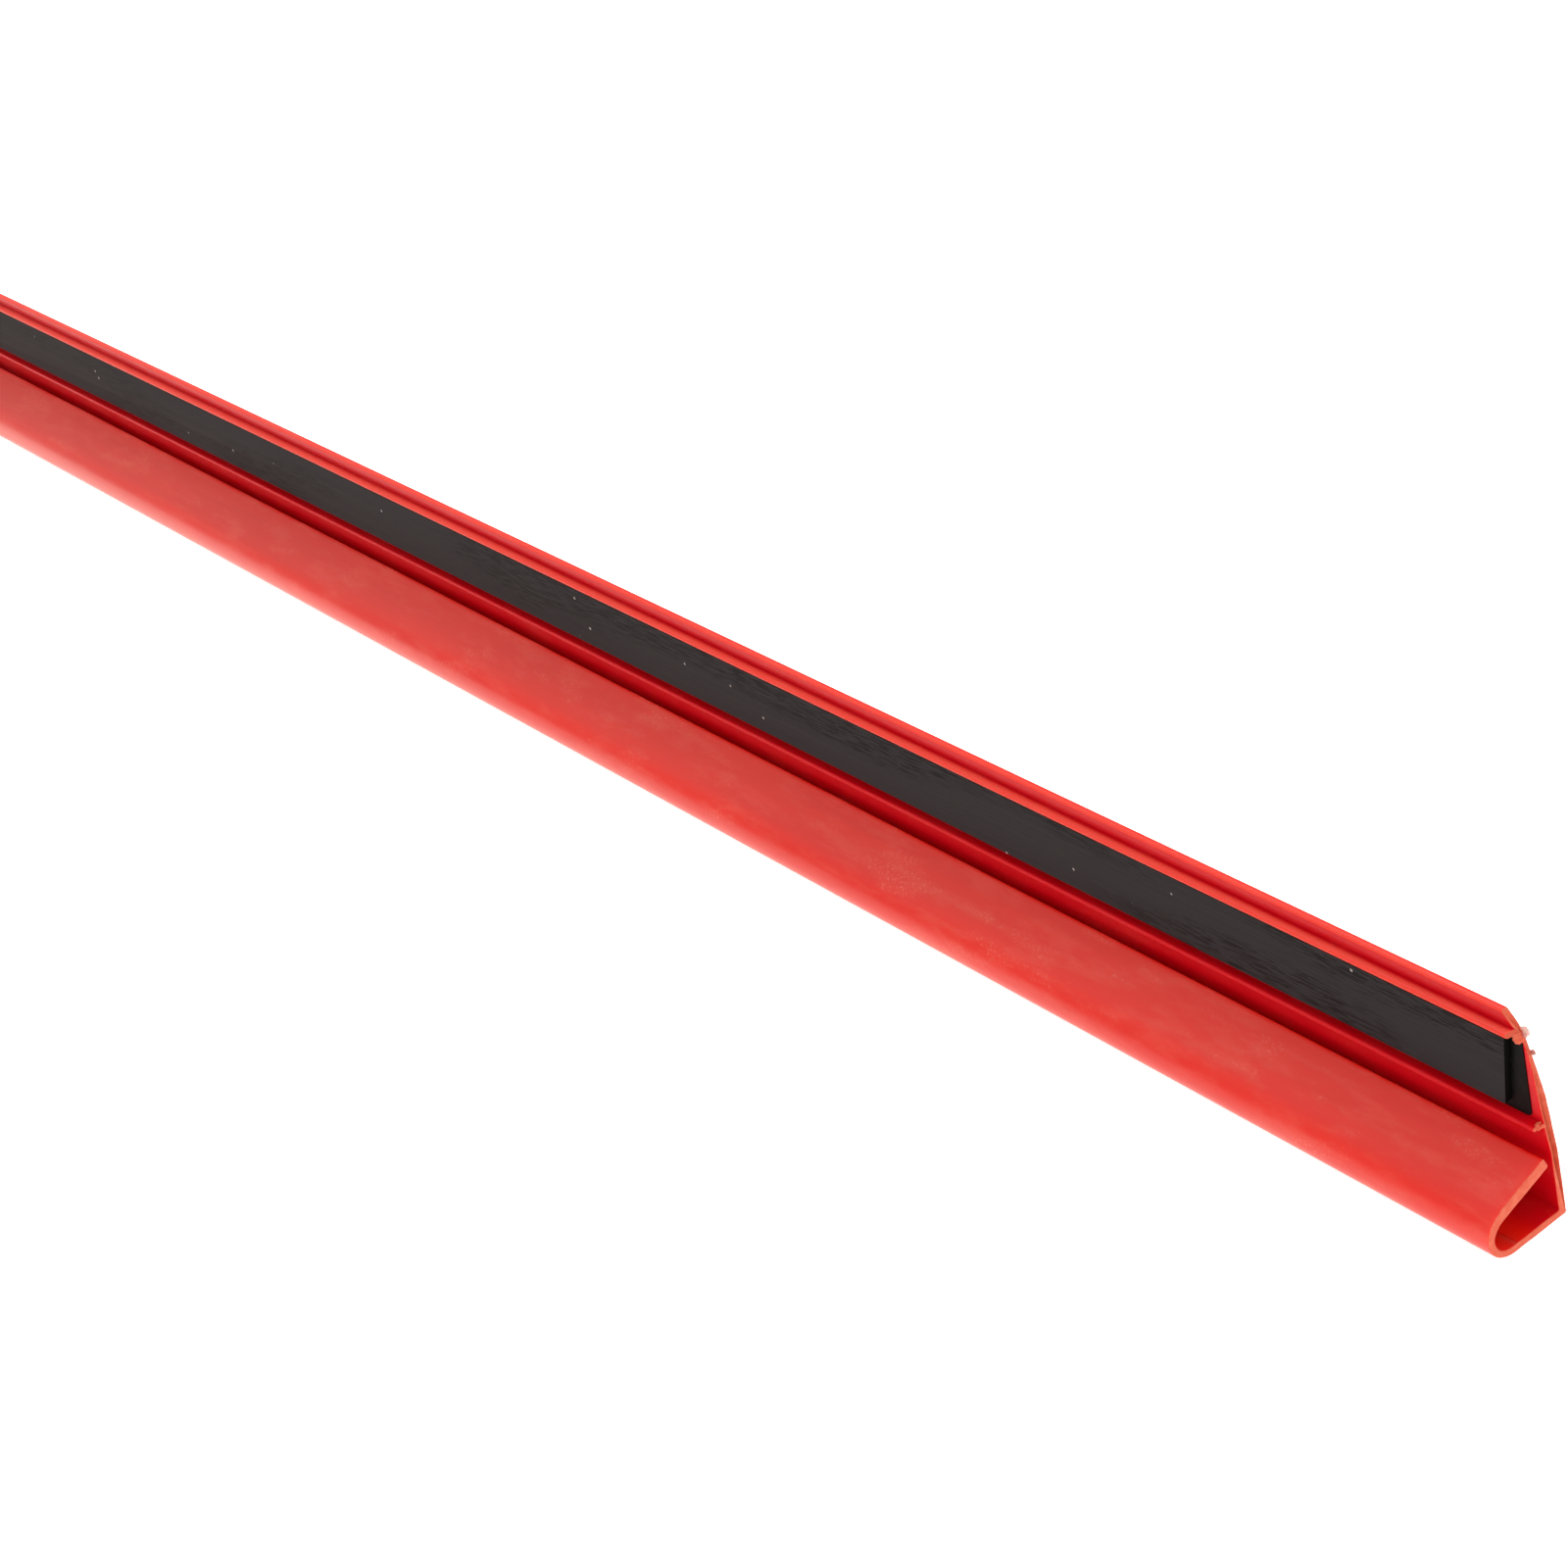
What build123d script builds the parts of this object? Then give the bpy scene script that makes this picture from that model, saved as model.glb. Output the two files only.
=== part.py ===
from build123d import *
import math
import os

# A magnetic clip rail: one extrusion of springy plastic with a flat back wall, a floor that runs
# forward from its lower edge, and a rounded nose that turns up and back into a clip leg. Above the
# clip two thin ribs make a shallow channel, and a flexible magnetic strip is taped into it.
# Millimetres. X runs along the rail, the front faces -Y and Z is up. The origin is under the middle
# of the rail, on the surface it stands on.
# The section is drawn from the back face (forward) and from the floor's underside (up).

rail_length = 500.0

# Clip
clip_depth = 11.5          # from the back face to the front of the nose
wall = 1.0                 # back wall and floor
nose_wall = 1.0            # at the front of the nose
nose_radius = 3.6          # outer radius of the nose
leg_thickness = 1.6
leg_angle = 20.0           # rise of the leg towards the wall, degrees from level
slit = 0.65                # from the leg's tip to the wall, at rest
tip_rounding = 0.25
hinge_gap = 0.3            # between the nose and the leg, where the leg flexes

# Wall and channel
finger_gap = 3.35          # from the leg's tip up to the lower rib
rib_depth = 1.3
rib_thickness = 0.6
top_lip = 1.8              # wall above the upper rib
edge_rounding = 0.25       # along the top edge, the ribs and the corners of the floor
end_corner_radius = 3.0    # upper corners of the wall, at the two ends

# Magnetic strip and its tape
strip_width = 10.0
strip_thickness = 1.0
strip_clearance = 0.1      # under the upper rib
channel_play = 1.6         # channel height beyond the strip's width
strip_setback = 2.4        # from the rail's end to the strip's nearest corner
strip_cut_angle = 12.0     # the right-hand end is cut aslant
tape_thickness = 0.15
tape_setback = 0.8
tape_margin = 0.3          # between the tape and each rib

lean = math.radians(leg_angle)
leg_normal = (math.sin(lean), math.cos(lean))
back_y = clip_depth / 2


def at(forward, up):
    """Point of the section, drawn with Y across and Z up."""
    return (back_y - forward, up)


def around(centre, radius, degrees):
    """Point on an arc; 0 degrees is straight forward and 90 is straight up."""
    turn = math.radians(degrees)
    return at(centre[0] + radius * math.cos(turn), centre[1] + radius * math.sin(turn))


def along_normal(point):
    """Distance of a point from the section's corner, square to the leg."""
    return leg_normal[0] * point[0] + leg_normal[1] * point[1]


def on_leg(offset, forward):
    """Point on a line parallel to the leg, at a distance along its normal."""
    return (forward, (offset - leg_normal[0] * forward) / leg_normal[1])


# Nose: the outer arc touches the floor's underside and the leg. The inner arc touches the floor's
# top and the leg's inner face, and leaves nose_wall at the front.
outer_centre = (clip_depth - nose_radius, nose_radius)
outer_offset = along_normal(outer_centre) + nose_radius
inner_offset = outer_offset - leg_thickness
inner_front = clip_depth - nose_wall
inner_radius = (inner_offset - along_normal((inner_front, wall))) / (1 + leg_normal[1] - leg_normal[0])
inner_centre = (inner_front - inner_radius, wall + inner_radius)

# Leg tip, cut square to the leg
tip_inner = on_leg(inner_offset, wall + slit)
tip_outer = (
    tip_inner[0] + leg_thickness * leg_normal[0],
    tip_inner[1] + leg_thickness * leg_normal[1],
)

# Heights on the wall
lower_rib_bottom = tip_outer[1] + finger_gap
channel_bottom = lower_rib_bottom + rib_thickness
channel_top = channel_bottom + strip_width + channel_play
rail_height = channel_top + rib_thickness + top_lip

# The leg flexes at the front of the nose, in the middle of its wall
hinge = (clip_depth - nose_wall / 2, (outer_centre[1] + inner_centre[1]) / 2)


def clip_outline():
    """Back wall, floor, nose and leg as one closed outline."""
    leg_turn = 90 - leg_angle
    lines = [
        Line(at(0, 0), around(outer_centre, nose_radius, -90)),
        ThreePointArc(
            around(outer_centre, nose_radius, -90),
            around(outer_centre, nose_radius, 0),
            around(outer_centre, nose_radius, leg_turn),
        ),
        Polyline(
            around(outer_centre, nose_radius, leg_turn),
            at(*tip_outer),
            at(*tip_inner),
            around(inner_centre, inner_radius, leg_turn),
        ),
        ThreePointArc(
            around(inner_centre, inner_radius, leg_turn),
            around(inner_centre, inner_radius, 0),
            around(inner_centre, inner_radius, -90),
        ),
        Polyline(
            around(inner_centre, inner_radius, -90),
            at(wall, wall),
            at(wall, rail_height),
            at(0, rail_height),
            at(0, 0),
        ),
    ]
    return make_face(lines)


def rib(bottom):
    """Section of one rib, rooted in the wall."""
    forward = (wall + rib_depth) / 2
    centre = at(forward, bottom + rib_thickness / 2)
    return Pos(*centre) * Rectangle(wall + rib_depth, rib_thickness)


def near(shape, point, reach):
    """The vertices of a section within reach of a point of it."""
    target = Vector(*at(*point))
    return [corner for corner in shape.vertices() if (Vector(*corner) - target).length < reach]


def full_section():
    """The whole extruded section, with its long edges rounded."""
    section = clip_outline() + rib(lower_rib_bottom) + rib(channel_top)
    for tip in (tip_outer, tip_inner):
        section = fillet(near(section, tip, 0.01), tip_rounding)
    corners = [(0, 0), (wall, wall), (0, rail_height), (wall, rail_height)]
    for bottom in (lower_rib_bottom, channel_top):
        corners.append((wall + rib_depth, bottom))
        corners.append((wall + rib_depth, bottom + rib_thickness))
    for corner in corners:
        section = fillet(near(section, corner, 0.01), edge_rounding)
    return section


def end_profile():
    """The rail seen from the front, with its upper corners rounded."""
    blank = Pos(0, rail_height / 2) * Rectangle(rail_length, rail_height)
    return fillet(blank.vertices().group_by(Axis.Y)[-1], end_corner_radius)


def rail_and_leg():
    """The extrusion, parted where the leg flexes: the rail's body, then its leg."""
    flex_cut = Pos(*at(*hinge)) * Rectangle(3 * nose_wall, hinge_gap)
    section = Plane.YZ * (full_section() - flex_cut)
    solid = extrude(section, rail_length / 2, both=True)
    front_view = extrude(Plane.XZ * end_profile(), clip_depth, both=True)
    return (solid & front_view).solids().sort_by(SortBy.VOLUME, reverse=True)


def band(bottom, width, setback, slant):
    """Front view of a band in the channel, with its right-hand end cut aslant."""
    top = bottom + width
    left = -rail_length / 2 + setback
    right = rail_length / 2 - setback
    return Plane.XZ * make_face(
        Polyline(
            (left, top),
            (right, top),
            (right - slant, bottom),
            (left, bottom),
            close=True,
        )
    )


def layer(face, back, thickness):
    """A front view given its thickness, from a distance forward of the back face."""
    return Pos(0, back_y - back, 0) * extrude(face, thickness, dir=(0, -1, 0))


body, leg = rail_and_leg()
slant = strip_width * math.tan(math.radians(strip_cut_angle))
strip_bottom = channel_top - strip_clearance - strip_width
tape_bottom = channel_bottom + tape_margin
tape_width = channel_top - tape_margin - tape_bottom

nodes = {
    "rail": body,
    "clip_leg": leg,
    "adhesive_tape": layer(band(tape_bottom, tape_width, tape_setback, 0), wall, tape_thickness),
    "magnet_strip": layer(
        band(strip_bottom, strip_width, strip_setback, slant), wall + tape_thickness, strip_thickness
    ),
}

os.makedirs("parts", exist_ok=True)
for name, shape in nodes.items():
    export_step(shape, f"parts/{name}.step")
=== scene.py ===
import math

import bmesh
import bpy
from mathutils import Matrix, Vector, noise


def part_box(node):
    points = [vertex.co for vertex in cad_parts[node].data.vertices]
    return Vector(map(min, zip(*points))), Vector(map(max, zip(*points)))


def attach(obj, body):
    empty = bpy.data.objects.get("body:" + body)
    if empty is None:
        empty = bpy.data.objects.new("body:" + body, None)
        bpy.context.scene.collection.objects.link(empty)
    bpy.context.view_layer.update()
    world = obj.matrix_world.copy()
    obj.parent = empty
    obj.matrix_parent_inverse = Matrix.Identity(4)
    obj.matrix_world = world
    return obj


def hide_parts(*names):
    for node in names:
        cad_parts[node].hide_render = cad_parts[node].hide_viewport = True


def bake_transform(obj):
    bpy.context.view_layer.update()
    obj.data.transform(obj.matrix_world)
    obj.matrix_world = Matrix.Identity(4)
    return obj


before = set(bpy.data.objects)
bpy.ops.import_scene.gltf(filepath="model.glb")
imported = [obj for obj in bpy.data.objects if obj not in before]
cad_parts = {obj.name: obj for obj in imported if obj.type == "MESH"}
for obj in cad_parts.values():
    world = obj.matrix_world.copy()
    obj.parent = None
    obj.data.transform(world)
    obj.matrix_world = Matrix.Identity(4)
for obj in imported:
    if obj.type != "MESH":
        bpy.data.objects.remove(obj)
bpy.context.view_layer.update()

mm = 0.001
samePlace = 1e-6    # metres; coordinates this close count as one
railLow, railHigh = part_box("rail")
stripLow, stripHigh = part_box("magnet_strip")
tapeLow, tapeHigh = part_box("adhesive_tape")
railLength = railHigh.x - railLow.x
print("frame loaded:", ", ".join(sorted(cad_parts)))


# helpers that every piece uses

class Signal:
    # one output socket of a material; arithmetic on it adds Math nodes

    def __init__(self, finish, socket):
        self.finish = finish
        self.socket = socket

    def combine(self, operation, first, second):
        return self.finish.node("ShaderNodeMath", {"operation": operation}, {0: first, 1: second})

    def __add__(self, other):
        return self.combine("ADD", self, other)

    __radd__ = __add__

    def __sub__(self, other):
        return self.combine("SUBTRACT", self, other)

    def __rsub__(self, other):
        return self.combine("SUBTRACT", other, self)

    def __mul__(self, other):
        return self.combine("MULTIPLY", self, other)

    __rmul__ = __mul__


class Finish:
    # one procedural material round a Principled shader

    def __init__(self, name, **constants):
        self.material = bpy.data.materials.new(name)
        self.material.use_nodes = True
        self.tree = self.material.node_tree
        self.tree.nodes.clear()
        output = self.tree.nodes.new("ShaderNodeOutputMaterial")
        self.shader = self.tree.nodes.new("ShaderNodeBsdfPrincipled")
        self.tree.links.new(self.shader.outputs[0], output.inputs["Surface"])
        for socket, value in constants.items():
            self.shader.inputs[socket.replace("_", " ")].default_value = value
        self.coords = self.node("ShaderNodeTexCoord", {}, {}, "Object")

    def node(self, kind, settings, sockets, output=0):
        # adds a node: its settings first, then the values or links of its sockets
        made = self.tree.nodes.new(kind)
        for key, value in settings.items():
            if key == "stops":
                fillRamp(made.color_ramp, value)
            else:
                setattr(made, key, value)
        for key, value in sockets.items():
            self.feed(made.inputs[key], value)
        return Signal(self, made.outputs[output])

    def feed(self, socket, value):
        if isinstance(value, Signal):
            self.tree.links.new(value.socket, socket)
        else:
            socket.default_value = value

    def set(self, name, value):
        self.feed(self.shader.inputs[name], value)

    def stretched(self, scale):
        # object coordinates scaled along each axis, in repeats per metre
        return self.node("ShaderNodeMapping", {}, {"Vector": self.coords, "Scale": scale})

    def grain(self, scale, detail=2.0, roughness=0.5):
        # soft noise from 0 to 1
        vector = self.stretched(scale)
        return self.node("ShaderNodeTexNoise", {}, {
            "Vector": vector, "Scale": 1.0, "Detail": detail, "Roughness": roughness})

    def between(self, value, low, high):
        # smooth step from 0 to 1 as a value goes from one limit to the other
        return self.node("ShaderNodeMapRange", {"interpolation_type": "SMOOTHSTEP"}, {
            "Value": value, "From Min": low, "From Max": high})

    def rise(self, distance, limits):
        # the same over a distance whose limits are given in mm
        return self.between(distance, limits[0] * mm, limits[1] * mm)

    def blendColors(self, mask, first, second):
        return self.node("ShaderNodeMix", {"data_type": "RGBA"}, {0: mask, 6: first, 7: second}, 2)

    def bumped(self, height, distance, strength=1.0):
        self.set("Normal", self.node("ShaderNodeBump", {}, {
            "Strength": strength, "Distance": distance, "Height": height}))


def fillRamp(ramp, stops):
    while len(ramp.elements) < len(stops):
        ramp.elements.new(1.0)
    for element, (position, color) in zip(ramp.elements, stops):
        element.position = position
        element.color = color


def sectionPoint(forward, up, x=railHigh.x):
    # forward from the back face and up from the underside, both in mm
    return Vector((x, railHigh.y - forward * mm, up * mm))


def closeOutline(bm, verts):
    # joins the outline's vertices in order and fills it with one face
    for first, second in zip(verts, verts[1:] + verts[:1]):
        if bm.edges.get((first, second)) is None:
            bm.edges.new((first, second))
    bmesh.ops.contextual_create(bm, geom=bm.edges[:])


def roundCorners(bm, verts, radius, segments=3):
    bmesh.ops.bevel(
        bm, geom=verts, offset=radius * mm, offset_type="OFFSET", segments=segments,
        profile=0.5, affect="VERTICES", material=-1)


def splitLongEdges(bm):
    for edge in bm.edges[:]:
        cuts = int(edge.calc_length() / (railShape["longestEdge"] * mm))
        if cuts:
            bmesh.ops.subdivide_edges(bm, edges=[edge], cuts=cuts)


def finishPiece(name, bm, materials, smoothAngle=35):
    mesh = bpy.data.meshes.new(name)
    bmesh.ops.recalc_face_normals(bm, faces=bm.faces[:])
    sharpest = math.radians(smoothAngle)
    for edge in bm.edges:
        edge.smooth = len(edge.link_faces) == 2 and edge.calc_face_angle(0) < sharpest
    for face in bm.faces:
        face.smooth = True
    bm.to_mesh(mesh)
    bm.free()
    for material in materials:
        mesh.materials.append(material)
    piece = bpy.data.objects.new(name, mesh)
    bpy.context.scene.collection.objects.link(piece)
    return piece


# the finishes, one procedural material each

redPlasticLook = {
    "base": (0.660, 0.012, 0.004, 1),    # the plastic's own colour, on the clip and on the rail's open faces
    "deep": (0.620, 0.009, 0.003, 1),    # slow drift of the pigment
    "paintedChannelShade": (0.510, 0.001, 0.007, 1),  # painted shade: darker red in the channels
    "paintedRidgeHighlight": (0.640, 0.045, 0.030, 1),   # painted highlight: paler orange red on the upper rib and the wall's top edge
    "hazed": (0.740, 0.150, 0.105, 1),   # dusty patches
    "roughness": 0.33,
    "glow": 0.50,                        # share of light that wanders inside the plastic
    "glowReach": (1.8, 0.12, 0.10),      # mm, for red, green and blue
    "lineDepth": 0.010,                  # die lines, mm
    # mm over which each area's colour fades in, along depth or height: the plastic's own colour,
    # the painted shade or the painted highlight
    "ridgeDepth": (1.15, 1.6),
    "ridgeHeight": (24.5, 25.0),
    "edgeHeight": (27.15, 27.35),
    "backDepth": (0.6, 0.3),
    "floorDepth": (3.0, 7.0),
}


def redPlastic(name, gloss, haze, paintsShadeAndHighlight):
    look = redPlasticLook
    finish = Finish(name, IOR=gloss, Subsurface_Weight=look["glow"],
                    Subsurface_Radius=look["glowReach"], Subsurface_Scale=mm)
    drift = finish.grain((14, 260, 260), detail=2)
    patches = finish.between(finish.grain((60, 230, 230), detail=3, roughness=0.6), 0.52, 0.66)
    pores = finish.between(finish.grain((2300, 2300, 2300), detail=3, roughness=0.75), 0.50, 0.72)
    rubbed = finish.between(finish.grain((90, 380, 380), detail=4, roughness=0.65), 0.46, 0.68)
    dieLines = finish.grain((5, 3200, 3200), detail=3, roughness=0.6)
    softLines = finish.grain((3, 700, 700), detail=2)
    hazeMask = (patches * (pores * 0.7 + 0.08) + rubbed * 0.16) * haze
    body = finish.blendColors(finish.between(drift, 0.35, 0.65), look["base"], look["deep"])
    if paintsShadeAndHighlight:
        # depth from the back face and height pick out the channels, which get painted shade, and
        # the upper rib and top edge, which get a painted highlight
        forward = railHigh.y - finish.node("ShaderNodeSeparateXYZ", {}, {0: finish.coords}, "Y")
        up = finish.node("ShaderNodeSeparateXYZ", {}, {0: finish.coords}, "Z")
        onRidge = finish.rise(forward, look["ridgeDepth"]) * finish.rise(up, look["ridgeHeight"])
        onEdge = finish.rise(up, look["edgeHeight"])
        # painted shade in the channels, painted highlight on the upper rib and top edge
        channels = finish.blendColors(onRidge + onEdge, look["paintedChannelShade"], look["paintedRidgeHighlight"])
        outside = finish.rise(forward, look["backDepth"]) + finish.rise(forward, look["floorDepth"])
        body = finish.blendColors(outside, channels, body)
    finish.set("Base Color", finish.blendColors(hazeMask, body, look["hazed"]))
    finish.set("Roughness", hazeMask * 0.22 + dieLines * 0.10 + (look["roughness"] - 0.05))
    finish.bumped(dieLines * 0.5 + softLines + pores * 0.25, look["lineDepth"] * mm, 0.5)
    return finish.material


cutPlasticLook = {
    "base": (0.560, 0.060, 0.020, 1),
    "pale": (0.640, 0.150, 0.085, 1),    # torn and whitened by the saw
    "roughness": 0.62,
}


def cutPlastic(name):
    look = cutPlasticLook
    finish = Finish(name, IOR=1.5)
    sawMarks = finish.grain((900, 500, 4200), detail=3, roughness=0.65)
    torn = finish.between(finish.grain((900, 900, 900), detail=4, roughness=0.7), 0.42, 0.68)
    whitened = torn * 0.7 + sawMarks * 0.2
    finish.set("Base Color", finish.blendColors(whitened, look["base"], look["pale"]))
    finish.set("Roughness", torn * 0.2 + look["roughness"])
    finish.bumped(sawMarks + torn * 0.5, 0.03 * mm, 0.6)
    return finish.material


magnetLook = {
    "base": (0.027, 0.024, 0.027, 1),
    "dark": (0.004, 0.003, 0.004, 1),    # polished streaks along the strip
    "dust": (0.420, 0.390, 0.380, 1),
    "cutDark": (0.0025, 0.0020, 0.0022, 1),
    "roughness": 0.70,
}


def magnetRubber(name):
    look = magnetLook
    finish = Finish(name, IOR=1.2)
    fibres = finish.grain((22, 3000, 3000), detail=4, roughness=0.65)
    streaks = finish.between(finish.grain((230, 4400, 4400), detail=3, roughness=0.6), 0.49, 0.56)
    streaked = finish.between(finish.grain((16, 60, 110), detail=1), 0.44, 0.58)
    speckCells = finish.node("ShaderNodeTexVoronoi", {"feature": "F1"}, {
        "Vector": finish.stretched((190, 190, 190)), "Scale": 1.0})
    specks = finish.between(speckCells, 0.055, 0.030)
    body = finish.blendColors(streaks * streaked * 0.9 + fibres * 0.3, look["base"], look["dark"])
    finish.set("Base Color", finish.blendColors(specks * 0.8, body, look["dust"]))
    finish.set("Roughness", fibres * 0.16 - streaks * streaked * 0.12 + look["roughness"])
    finish.bumped(fibres + specks * 2, 0.012 * mm, 0.6)
    return finish.material


def cutRubber(name):
    # the sheared ends: matt and nearly black
    finish = Finish(name, IOR=1.12, Roughness=0.8)
    crumbs = finish.grain((3000, 3000, 3000), detail=3, roughness=0.7)
    finish.set("Base Color", finish.blendColors(crumbs, magnetLook["cutDark"], magnetLook["dark"]))
    finish.bumped(crumbs, 0.03 * mm, 0.6)
    return finish.material


tapeLook = {
    "base": (0.0020, 0.0018, 0.0020, 1),
    "worn": (0.0060, 0.0050, 0.0055, 1),
    "roughness": 0.40,
}


def blackTape(name):
    look = tapeLook
    finish = Finish(name, IOR=1.15)
    weave = finish.grain((2600, 2600, 420), detail=3, roughness=0.6)
    rubbed = finish.between(weave, 0.4, 0.7)
    finish.set("Base Color", finish.blendColors(rubbed, look["base"], look["worn"]))
    finish.set("Roughness", weave * 0.2 + look["roughness"])
    finish.bumped(weave, 0.02 * mm, 0.5)
    return finish.material


materials = {
    # the rail's finish paints shade into its channels and a highlight on its upper rib and top edge
    "rail": redPlastic("railPlastic", gloss=1.26, haze=0.2, paintsShadeAndHighlight=True),
    "clip": redPlastic("clipPlastic", gloss=1.46, haze=1.0, paintsShadeAndHighlight=False),
    "cut": cutPlastic("cutPlastic"),
    "magnet": magnetRubber("magnetRubber"),
    "cutRubber": cutRubber("cutRubber"),
    "tape": blackTape("blackTape"),
}
print("finishes made:", len(materials))


# the extrusion and how the saw left its ends

railShape = {
    "height": railHigh.z / mm,
    "wall": 1.0,
    "seam": 7.5,              # where the clip's skin takes over, in the floor
    "seamTop": 1.5,           # the seam lies below this height
    "ribs": (12.857, 25.057),
    "ribDepth": 1.3,
    "ribThickness": 0.6,
    "edgeRounding": 0.25,
    "longestEdge": 0.5,       # of a section's outline
}

endCut = {
    # (height, recess) in mm: how far each cut lies inside the full length,
    # on the right up the back and the front of the wall, on the left over its whole thickness
    "backEdge": ((0, 0.80), (4.7, 0.40), (9.5, 0.02), (16.7, 0.10), (19.0, 0.42), (21.2, 0.78),
                 (25.0, 1.50), (26.3, 2.40), (27.5, 3.40)),
    "frontEdge": ((0, 0.80), (4.7, 0.40), (9.5, 0.02), (14.7, 0.30), (19.7, 0.30), (23.0, 0.45),
                  (25.0, 1.10), (26.3, 2.20), (27.5, 3.30)),
    "leftEdge": ((0, 0.05), (12.0, 0.25), (24.4, 0.35), (25.6, 0.75), (26.6, 1.55), (27.5, 3.20)),
    "ribSetback": 0.45,        # the ribs broke off short of the cut
    "ragged": 0.05,            # unevenness of the cut
    "edgeRounding": 0.14,
}


def alongCurve(curve, at):
    # value of a piecewise curve, straight between its points
    for (low, first), (high, second) in zip(curve, curve[1:]):
        if at <= high:
            share = max(0.0, (at - low) / (high - low))
            return first + (second - first) * share
    return curve[-1][1]


def cutRecess(point, side):
    # how far a point of a sawn end lies inside the rail's length, in mm
    cut = endCut
    up = point.z / mm
    forward = (railHigh.y - point.y) / mm
    if side > 0:
        back, front = alongCurve(cut["backEdge"], up), alongCurve(cut["frontEdge"], up)
        recess = back + (front - back) * min(1.0, forward / railShape["wall"])
    else:
        recess = alongCurve(cut["leftEdge"], up)
    wander = noise.noise(Vector((side * 3.1 + forward * 0.4, up * 0.9, 1.7)))
    if up > railShape["ribs"][0] - 0.5 and forward > railShape["wall"] + 0.1:
        recess += cut["ribSetback"] * (1 + wander) * min(1.0, forward - railShape["wall"])
    return recess + cut["ragged"] * (1 + wander)


def extrudeRail(bm, rightEnd):
    # pulls a section along the rail and shapes both sawn ends, which it returns
    made = bmesh.ops.extrude_face_region(bm, geom=[rightEnd], use_keep_orig=True)["geom"]
    moved = [item for item in made if isinstance(item, bmesh.types.BMVert)]
    bmesh.ops.translate(bm, verts=moved, vec=(-railLength, 0, 0))
    leftEnd = [item for item in made if isinstance(item, bmesh.types.BMFace)][0]
    for end, side in ((rightEnd, 1), (leftEnd, -1)):
        for vert in end.verts:
            vert.co.x -= side * cutRecess(vert.co, side) * mm
    return [rightEnd, leftEnd]


def easeEnds(bm, ends, keep):
    # rounds the rims of the ends, but not where two pieces of skin meet
    for end in ends:
        end.material_index = 1
    rims = [edge for end in ends for edge in end.edges
            if not all(keep(vert.co) for vert in edge.verts)]
    bmesh.ops.bevel(
        bm, geom=rims, offset=endCut["edgeRounding"] * mm, offset_type="OFFSET", segments=3,
        profile=0.5, affect="EDGES", clamp_overlap=False, material=-1)
    wide = [face for face in bm.faces if len(face.verts) > 4]
    bmesh.ops.triangulate(bm, faces=wide, ngon_method="EAR_CLIP")


# wall, ribs and floor, up to where the clip takes over

def onSeam(point):
    seam = sectionPoint(railShape["seam"], railShape["seamTop"])
    return abs(point.y - seam.y) < samePlace and point.z < seam.z


def makeRailSkin():
    shape = railShape
    wall, height = shape["wall"], shape["height"]
    ribFront = wall + shape["ribDepth"]
    corners = [(0, 0), (0, height), (wall, height)]
    for bottom in reversed(shape["ribs"]):
        top = bottom + shape["ribThickness"]
        corners += [(wall, top), (ribFront, top), (ribFront, bottom), (wall, bottom)]
    corners += [(wall, wall), (shape["seam"], wall), (shape["seam"], 0)]
    bm = bmesh.new()
    verts = [bm.verts.new(sectionPoint(*corner)) for corner in corners]
    closeOutline(bm, verts)
    # the ribs' roots and the seam stay sharp; every other corner is rounded
    ribMiddle = sectionPoint(wall + shape["ribDepth"] / 2, 0).y
    rounded = [vert for vert in verts if not onSeam(vert.co) and (
        vert.co.z < 2 * wall * mm or vert.co.z > (height - wall) * mm or vert.co.y < ribMiddle)]
    roundCorners(bm, rounded, shape["edgeRounding"])
    splitLongEdges(bm)
    ends = extrudeRail(bm, bm.faces[:][0])
    easeEnds(bm, ends, onSeam)
    piece = finishPiece("railSkin", bm, [materials["rail"], materials["cut"]])
    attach(piece, "rail")
    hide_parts("rail")


makeRailSkin()
print("rail skin made")


# the clip: front of the floor, nose and leg, bent as one skin

clipShape = {
    "outerCentre": (7.9, 3.6),
    "outerRadius": 3.6,
    "innerCentre": (8.2755, 3.2245),
    "innerRadius": 2.2245,
    "turn": 160,              # degrees of bend, floor to leg
    "tipOuter": (2.197, 9.507),
    "tipInner": (1.65, 8.003),
    "tipRounding": 0.25,
    "bendSteps": 40,
    # (forward, up) of two points on the nose
    "bendStart": (11, 1.0),
    "bendEnd": (11, 5.5),
}


def bendWire(bm, centre, radius, turn, steps):
    # an arc spun from the floor round the nose; returns its vertices in order
    middle = sectionPoint(*centre)
    first = bm.verts.new(sectionPoint(centre[0], centre[1] - radius))
    known = set(bm.verts)
    bmesh.ops.spin(
        bm, geom=[first], cent=middle, axis=(1, 0, 0), dvec=(0, 0, 0),
        angle=-math.radians(turn), steps=steps, use_merge=False, use_normal_flip=False,
        use_duplicate=False)
    spun = [vert for vert in bm.verts if vert not in known]
    down = Vector((0, 0, -1))
    spun.sort(key=lambda vert: down.angle(vert.co - middle))
    return [first] + spun


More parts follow.
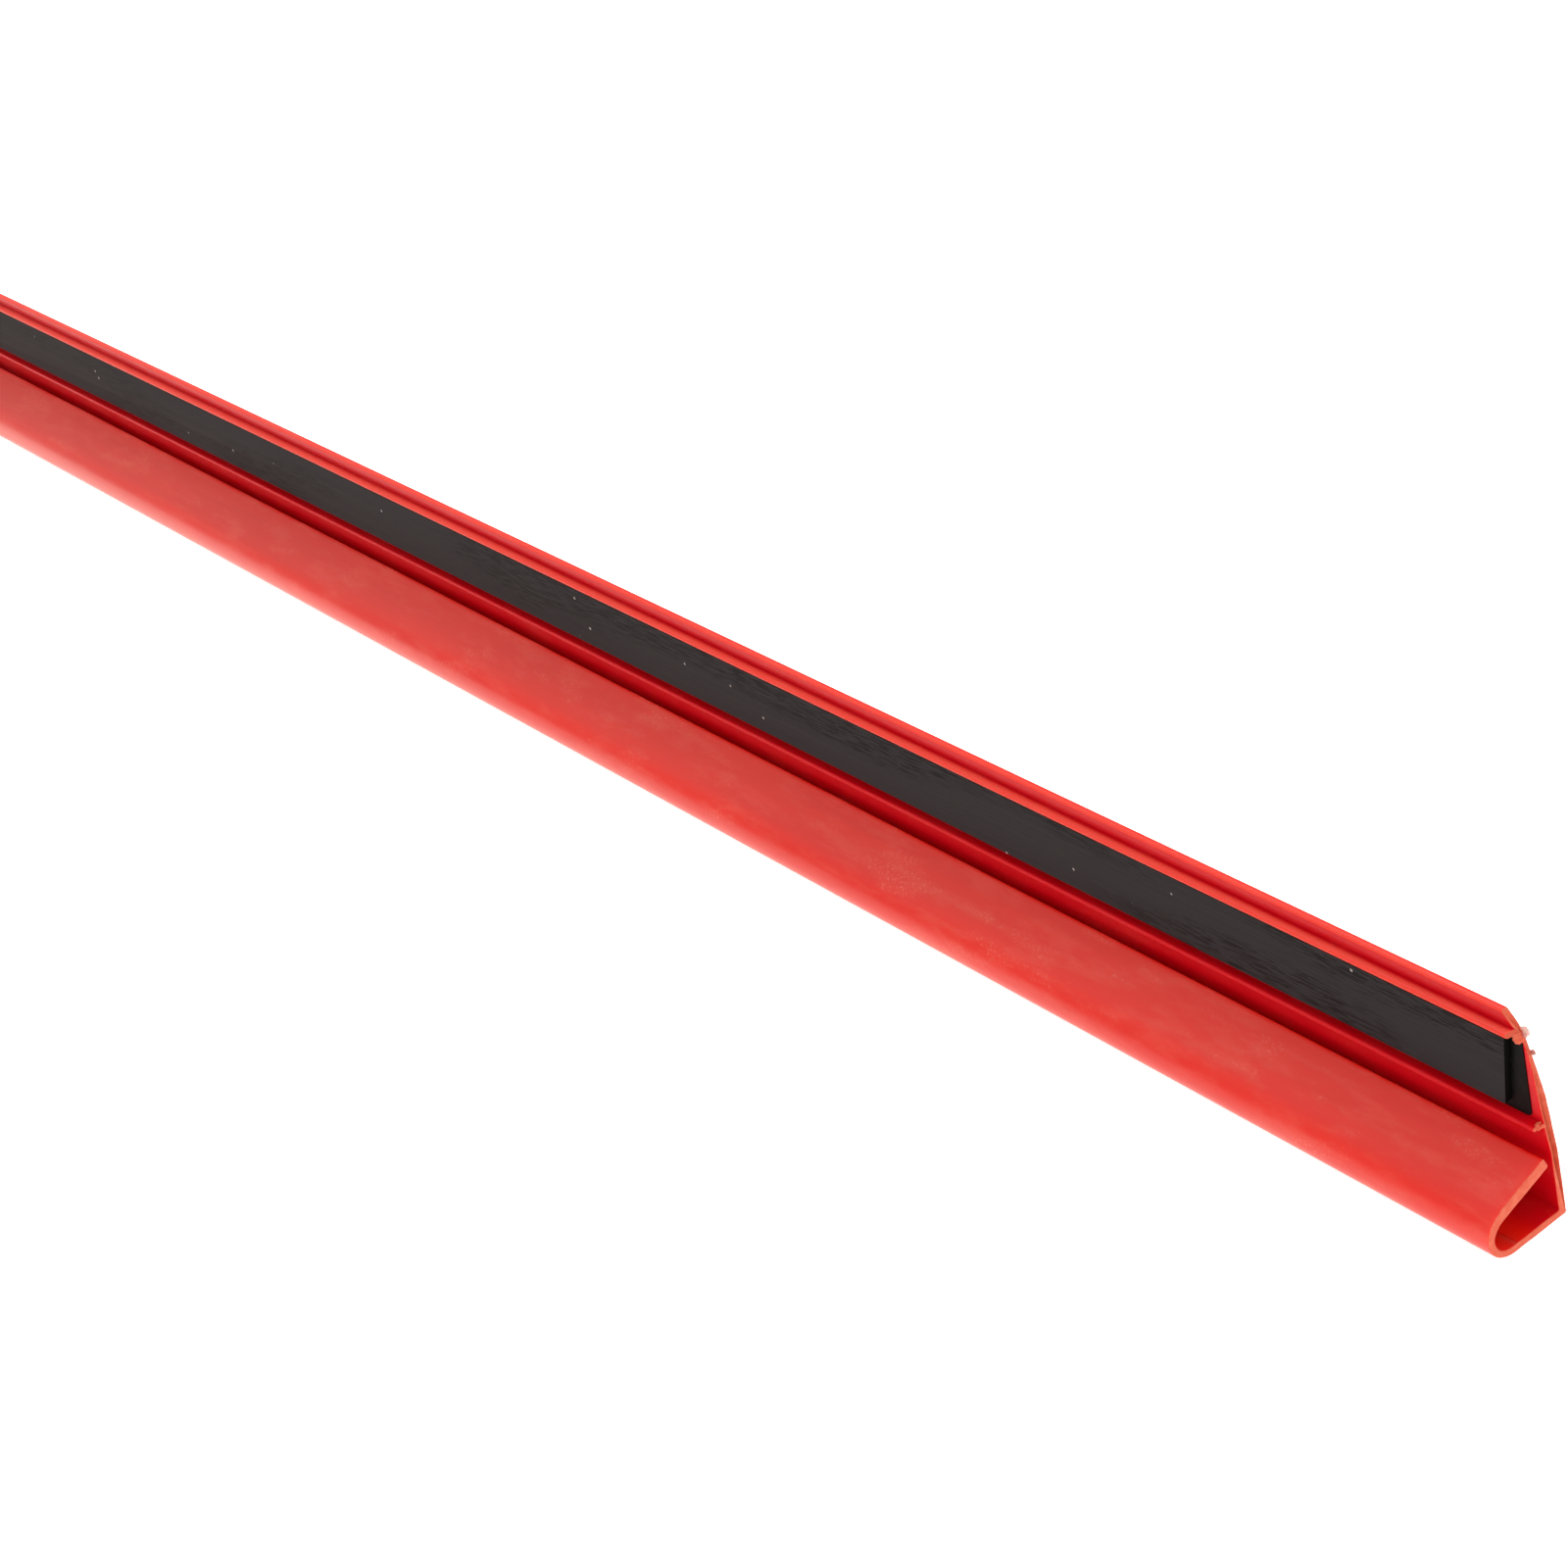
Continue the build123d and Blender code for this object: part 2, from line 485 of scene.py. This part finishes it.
def makeClipSkin():
    shape = clipShape
    seam, wall = railShape["seam"], railShape["wall"]
    bm = bmesh.new()
    turn, steps = shape["turn"], shape["bendSteps"]
    outer = bendWire(bm, shape["outerCentre"], shape["outerRadius"], turn, steps)
    inner = bendWire(bm, shape["innerCentre"], shape["innerRadius"], turn, steps)
    tips = [bm.verts.new(sectionPoint(*shape[corner])) for corner in ("tipOuter", "tipInner")]
    seamVerts = [bm.verts.new(sectionPoint(seam, wall)), bm.verts.new(sectionPoint(seam, 0))]
    closeOutline(bm, outer + tips + inner[::-1] + seamVerts)
    roundCorners(bm, tips, shape["tipRounding"], segments=4)
    splitLongEdges(bm)
    ends = extrudeRail(bm, bm.faces[:][0])
    easeEnds(bm, ends, onSeam)
    piece = finishPiece("clipSkin", bm, [materials["clip"], materials["cut"]])
    sectionPoint(*shape["bendStart"], 0)
    sectionPoint(*shape["bendEnd"], 0)
    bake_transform(piece)
    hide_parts("clip_leg")


makeClipSkin()
print("clip skin made")


# the magnetic strip and the tape that holds it

stripShape = {
    "slant": 2.13,            # how much shorter the right-hand end is at the bottom, mm
    "corners": (0.2, 0.2),    # rounding of the lower right corner and of the others
    "edgeRounding": 0.12,
}
tapeShape = {
    "slant": 1.0,
    "corners": (0.7, 0.35),
    "edgeRounding": 0.03,
}


def makeSlab(name, low, high, material, shape):
    # a flat bar against the wall, its right-hand end leaning
    bm = bmesh.new()
    middle = (low + high) / 2
    bmesh.ops.create_cube(
        bm, size=1, matrix=Matrix.Translation(middle) @ Matrix.Diagonal((*(high - low), 1)))
    for vert in bm.verts:
        if vert.co.x > middle.x and vert.co.z < middle.z:
            vert.co.x -= shape["slant"] * mm
    for radius, lowerRight in zip(shape["corners"], (True, False)):
        throughEdges = []
        for edge in bm.edges:
            first, second = (vert.co for vert in edge.verts)
            through = abs(first.x - second.x) < samePlace and abs(first.z - second.z) < samePlace
            if through and (first.x > middle.x and first.z < middle.z) == lowerRight:
                throughEdges.append(edge)
        bmesh.ops.bevel(
            bm, geom=throughEdges, offset=radius * mm, offset_type="OFFSET", segments=4,
            profile=0.5, affect="EDGES", material=-1)
    rims = [edge for edge in bm.edges if edge.calc_face_angle(0) > math.radians(60)]
    bmesh.ops.recalc_face_normals(bm, faces=bm.faces[:])
    bmesh.ops.bevel(
        bm, geom=rims, offset=shape["edgeRounding"] * mm, offset_type="OFFSET", segments=3,
        profile=0.5, affect="EDGES", clamp_overlap=False, material=-1)
    for face in bm.faces:
        if abs(face.normal.x) > 0.7:
            face.material_index = 1      # the cut ends
    return finishPiece(name, bm, [material, materials["cutRubber"]])


magnetStrip = makeSlab("magnetStrip", stripLow, stripHigh, materials["magnet"], stripShape)
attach(magnetStrip, "rail")
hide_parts("magnet_strip")

adhesiveTape = makeSlab("adhesiveTape", tapeLow, tapeHigh, materials["tape"], tapeShape)
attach(adhesiveTape, "rail")
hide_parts("adhesive_tape")
print("strip and tape made")


# torn flakes that the saw left at the right-hand end

flakes = {
    # middle (x, forward, up) and size in mm, and turn in degrees
    "pale": {"at": (249.15, 0.35, 25.3), "size": (1.05, 0.50, 1.50), "turn": 25},
    "brown": {"at": (249.55, 0.30, 22.7), "size": (0.65, 0.40, 0.60), "turn": -30},
    "curl": {"at": (248.85, 1.30, 24.9), "size": (1.10, 0.80, 1.50), "turn": 35},
    "lowCurl": {"at": (249.15, 1.45, 13.2), "size": (1.00, 1.20, 0.70), "turn": -10},
}


def makeFlake(name, material):
    # a torn chip of plastic: a ball pulled flat and roughened
    shape = flakes[name]
    x, forward, up = shape["at"]
    bm = bmesh.new()
    bmesh.ops.create_icosphere(bm, subdivisions=4, radius=0.5)
    for vert in bm.verts:
        vert.co *= 1 + 0.5 * noise.fractal(vert.co * 2.6 + Vector((x, forward, up)), 1.0, 2.0, 3)
    bmesh.ops.scale(bm, verts=bm.verts, vec=[side * mm for side in shape["size"]])
    bmesh.ops.rotate(bm, verts=bm.verts, cent=(0, 0, 0),
                     matrix=Matrix.Rotation(math.radians(shape["turn"]), 3, "Y"))
    bmesh.ops.translate(bm, verts=bm.verts, vec=sectionPoint(forward, up, x * mm))
    piece = finishPiece(name + "Flake", bm, [material], smoothAngle=60)
    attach(piece, "rail")


chipLooks = {
    "pale": {"color": (0.76, 0.68, 0.66, 1), "glow": 0.3},
    "brown": {"color": (0.20, 0.07, 0.06, 1), "glow": 0.1},
    "vein": (0.60, 0.22, 0.18, 1),
}


def chipFinish(name):
    look = chipLooks[name]
    finish = Finish(name + "Chip", Roughness=0.5, Subsurface_Weight=look["glow"],
                    Subsurface_Radius=(0.8, 0.4, 0.35), Subsurface_Scale=mm)
    tone = finish.grain((2500, 2500, 2500), detail=3)
    finish.set("Base Color", finish.blendColors(tone, look["color"], chipLooks["vein"]))
    finish.bumped(tone, 0.05 * mm, 0.7)
    return finish.material


makeFlake("pale", chipFinish("pale"))
makeFlake("brown", chipFinish("brown"))
makeFlake("curl", materials["cut"])
makeFlake("lowCurl", materials["cut"])
print("saw flakes made:", len(flakes))


# floor, light and camera

studio = {
    "floorSize": 6.0,
    "floorDrop": 0.1,                       # mm below the object's underside
    "floorColor": (0.90, 0.90, 0.90, 1),
    "floorBounce": (0.40, 0.39, 0.38, 1),   # what the floor gives back to the object
    "tableGlow": (1.22, 1.14, 1.04, 1),     # light the table itself sends up to the object
    "floorGlow": (0.75, 0.75, 0.75, 1),     # keeps the floor pale under the object
    # (height, colour) from the horizon up
    "sky": ((0.0, (0.66, 0.62, 0.57, 1)), (0.35, (0.80, 0.75, 0.69, 1)),
            (0.75, (1.26, 1.20, 1.10, 1))),
    "backdrop": (1.0, 1.0, 1.0, 1),
    # (place, size, watts)
    "softboxes": (((-0.1, 0.55, 1.1), 0.9, 5), ((1.1, -0.15, 0.55), 0.6, 1.5)),
}

floorMesh = bmesh.new()
bmesh.ops.create_grid(floorMesh, x_segments=1, y_segments=1, size=studio["floorSize"] / 2,
                      matrix=Matrix.Translation((0, 0, -studio["floorDrop"] * mm)))
floorFinish = Finish("paleFloor", Roughness=0.9)
seen = floorFinish.node("ShaderNodeLightPath", {}, {}, "Is Camera Ray")
floorFinish.set("Base Color",
                floorFinish.blendColors(seen, studio["floorBounce"], studio["floorColor"]))
floorFinish.set("Emission Color",
                floorFinish.blendColors(seen, studio["tableGlow"], studio["floorGlow"]))
floorFinish.set("Emission Strength", 1.0)
floor = finishPiece("floor", floorMesh, [floorFinish.material])

world = bpy.data.worlds.new("studioWorld")
bpy.context.scene.world = world
world.use_nodes = True
skyNodes, skyLinks = world.node_tree.nodes, world.node_tree.links
skyCoords = skyNodes.new("ShaderNodeTexCoord")
skyHeight = skyNodes.new("ShaderNodeSeparateXYZ")
skyRamp = skyNodes.new("ShaderNodeValToRGB")
fillRamp(skyRamp.color_ramp, studio["sky"])
skyLinks.new(skyCoords.outputs["Generated"], skyHeight.inputs[0])
skyLinks.new(skyHeight.outputs["Z"], skyRamp.inputs[0])
skySeen = skyNodes.new("ShaderNodeLightPath")
skyMix = skyNodes.new("ShaderNodeMix")          # the backdrop itself is seen plain white
skyMix.data_type = "RGBA"
skyLinks.new(skySeen.outputs["Is Camera Ray"], skyMix.inputs[0])
skyLinks.new(skyRamp.outputs["Color"], skyMix.inputs[6])
skyMix.inputs[7].default_value = studio["backdrop"]
skyLinks.new(skyMix.outputs[2], skyNodes["Background"].inputs["Color"])

for place, size, watts in studio["softboxes"]:
    light = bpy.data.lights.new("softbox", "AREA")
    light.shape = "SQUARE"
    light.size = size
    light.energy = watts
    softbox = bpy.data.objects.new("softbox", light)
    softbox.matrix_world = (Matrix.Translation(place)
                            @ Vector(place).to_track_quat("Z", "Y").to_matrix().to_4x4())
    bpy.context.scene.collection.objects.link(softbox)

view = {
    "lens": 83.25,
    "sensor": 36,
    "nearest": 0.01,
    "place": (0.49086, -0.18756, 0.26196),
    "right": (0.56572, 0.77840, -0.27212),
    "up": (-0.29328, 0.49836, 0.81586),
}
cameraData = bpy.data.cameras.new("camera")
cameraData.lens = view["lens"]
cameraData.sensor_width = view["sensor"]
cameraData.clip_start = view["nearest"]
camera = bpy.data.objects.new("camera", cameraData)
right = Vector(view["right"]).normalized()
back = right.cross(Vector(view["up"])).normalized()
turned = Matrix((right, back.cross(right), back)).transposed().to_4x4()
camera.matrix_world = Matrix.Translation(view["place"]) @ turned
bpy.context.scene.collection.objects.link(camera)
bpy.context.scene.camera = camera
bpy.context.scene.view_settings.view_transform = "Standard"
print("studio ready")
